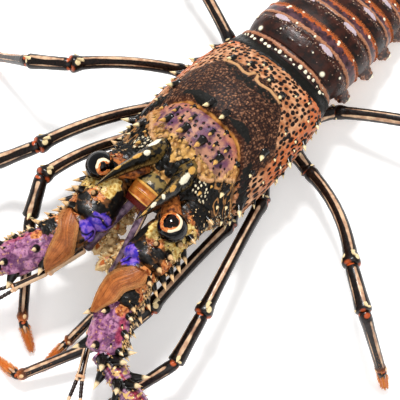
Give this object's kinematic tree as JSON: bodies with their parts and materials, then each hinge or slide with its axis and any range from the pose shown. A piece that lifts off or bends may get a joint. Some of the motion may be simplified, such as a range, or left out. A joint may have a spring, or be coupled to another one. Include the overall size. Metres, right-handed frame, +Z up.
{
  "type": "pronghorn spiny lobster model",
  "caption": "Life-size spiny lobster in a standing pose, with spiny carapace, horns over the eyes, stout antennae, jointed legs and a spread tail fan.",
  "frame": {"origin": "centre of the whole animal's box, on the floor", "axes": "-Y to the head, +X to the animal's left, +Z up"},
  "size_m": [0.713, 0.416, 0.0702],
  "materials": {
    "carapace": "wet, hard, spiny shell: dark brown saddle, tan network, mauve front, cream spine tips",
    "horn": "smooth black-green horn with cream patches",
    "eye": "glossy black cornea with a cream and orange collar",
    "antennular_plate": "orange-brown shell with ridges",
    "antenna_base": "black, olive and cream spiny shell with a violet inner face",
    "antenna_shell": "pink-purple shell with round black spots and black and cream spines",
    "flagellum": "mauve ringed whip with black, cream-tipped spines",
    "antennule": "slender banded shell, black and cream",
    "mouth": "beige, spiny and hairy mouth limbs",
    "sternum": "pale breast plate",
    "abdomen": "purple-black rings with cream dots and salmon rear edges",
    "tail_fan": "ribbed tail fan, brown-purple with orange rim",
    "leg_upper": "black-brown leg with cream lengthwise stripes",
    "leg_lower": "striped leg ending in an orange, bristly toe"
  },
  "bodies": {
    "root": {"carapace": "carapace", "sternum": "sternum", "antennular_plate": "antennular_plate", "epistome": "mouth", "horn_left": "horn", "horn_right": "horn", "eye_left": "eye", "eye_right": "eye", "antenna_left_base": "antenna_base", "antenna_left_article_1": "antenna_base", "antenna_left_article_2": "antenna_shell", "antenna_left_article_3": "antenna_shell", "antenna_left_flagellum_near": "flagellum", "antenna_left_flagellum_middle": "flagellum", "antenna_left_flagellum_far": "flagellum", "antennule_left": "antennule", "maxilliped_left": "mouth", "antenna_right_base": "antenna_base", "antenna_right_article_1": "antenna_base", "antenna_right_article_2": "antenna_shell", "antenna_right_article_3": "antenna_shell", "antenna_right_flagellum_near": "flagellum", "antenna_right_flagellum_middle": "flagellum", "antenna_right_flagellum_far": "flagellum", "antennule_right": "antennule", "maxilliped_right": "mouth", "abdomen_1": "abdomen", "abdomen_2": "abdomen", "abdomen_3": "abdomen", "abdomen_4": "abdomen", "abdomen_5": "abdomen", "abdomen_6": "abdomen", "telson": "tail_fan", "uropod_inner_left": "tail_fan", "uropod_inner_right": "tail_fan", "uropod_outer_left": "tail_fan", "uropod_outer_right": "tail_fan", "leg_left_1_upper": "leg_upper", "leg_left_1_lower": "leg_lower", "leg_right_1_upper": "leg_upper", "leg_right_1_lower": "leg_lower", "leg_left_2_upper": "leg_upper", "leg_left_2_lower": "leg_lower", "leg_right_2_upper": "leg_upper", "leg_right_2_lower": "leg_lower", "leg_left_3_upper": "leg_upper", "leg_left_3_lower": "leg_lower", "leg_right_3_upper": "leg_upper", "leg_right_3_lower": "leg_lower", "leg_left_4_upper": "leg_upper", "leg_left_4_lower": "leg_lower", "leg_right_4_upper": "leg_upper", "leg_right_4_lower": "leg_lower", "leg_left_5_upper": "leg_upper", "leg_left_5_lower": "leg_lower", "leg_right_5_upper": "leg_upper", "leg_right_5_lower": "leg_lower"}
  },
  "joints": []
}
